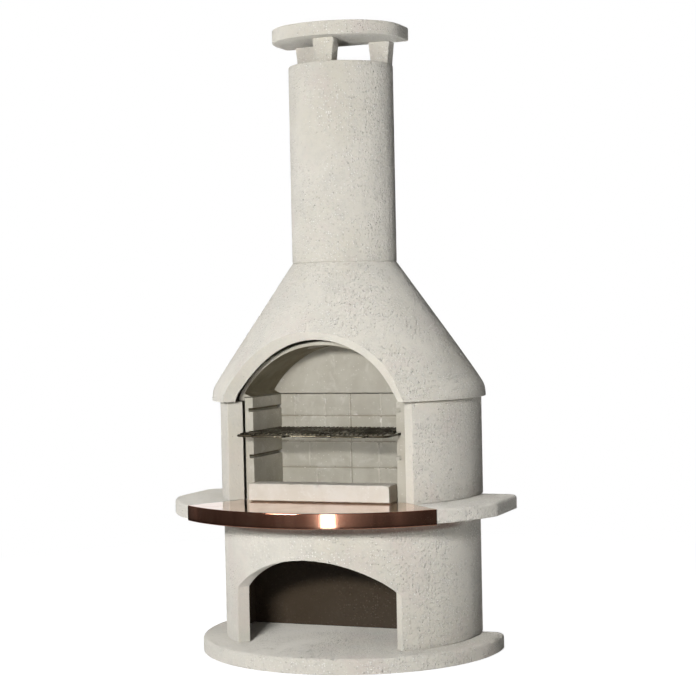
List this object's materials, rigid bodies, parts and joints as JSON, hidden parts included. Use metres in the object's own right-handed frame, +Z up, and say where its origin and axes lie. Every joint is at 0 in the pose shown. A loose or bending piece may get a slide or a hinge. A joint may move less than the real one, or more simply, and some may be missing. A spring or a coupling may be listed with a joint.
{
  "type": "garden barbecue fireplace",
  "caption": "Floor-standing masonry barbecue with arched log store, copper-edged table, lined firebox, sliding grate, conical smoke hood, flue and rain cap.",
  "frame": {"origin": "on the ground, on the plane of symmetry, at the centre of the plinth's round edge", "axes": "+Z up, the open front faces -Y, the flat back stands against a wall at +Y, +X is right as seen from the front"},
  "size_m": [1.156, 0.7099, 2.1211],
  "materials": {
    "white_concrete": "matt, finely pitted cast surface",
    "fire_clay": "matt refractory concrete",
    "copper": "bright sheet",
    "grate_steel": "plated wire"
  },
  "bodies": {
    "masonry": {"plinth_slab": "white_concrete", "base_shell": "white_concrete", "table_slab": "white_concrete", "copper_trim": "copper", "firebox_shell": "white_concrete", "liner_left": "fire_clay", "liner_right": "fire_clay", "liner_back": "fire_clay", "hearth_floor": "fire_clay", "inner_cowl": "fire_clay", "outer_hood": "white_concrete", "flue_pipe": "white_concrete", "cap_foot_front": "white_concrete", "cap_foot_left": "white_concrete", "cap_foot_right": "white_concrete", "cap_slab": "white_concrete"},
    "grate": {"grate_frame": "grate_steel", "grate_rods": "grate_steel", "grate_handle_left": "grate_steel", "grate_handle_right": "grate_steel"},
    "ember_bar": {"ember_bar": "white_concrete"}
  },
  "joints": [
    {"name": "grate_slide", "type": "slide", "parent": "masonry", "child": "grate", "axis": [0, -1, 0], "range_m": [0, 0.62]},
    {"name": "ember_bar_slide", "type": "slide", "parent": "masonry", "child": "ember_bar", "axis": [0, -1, 0], "range_m": [0, 0.45]}
  ]
}
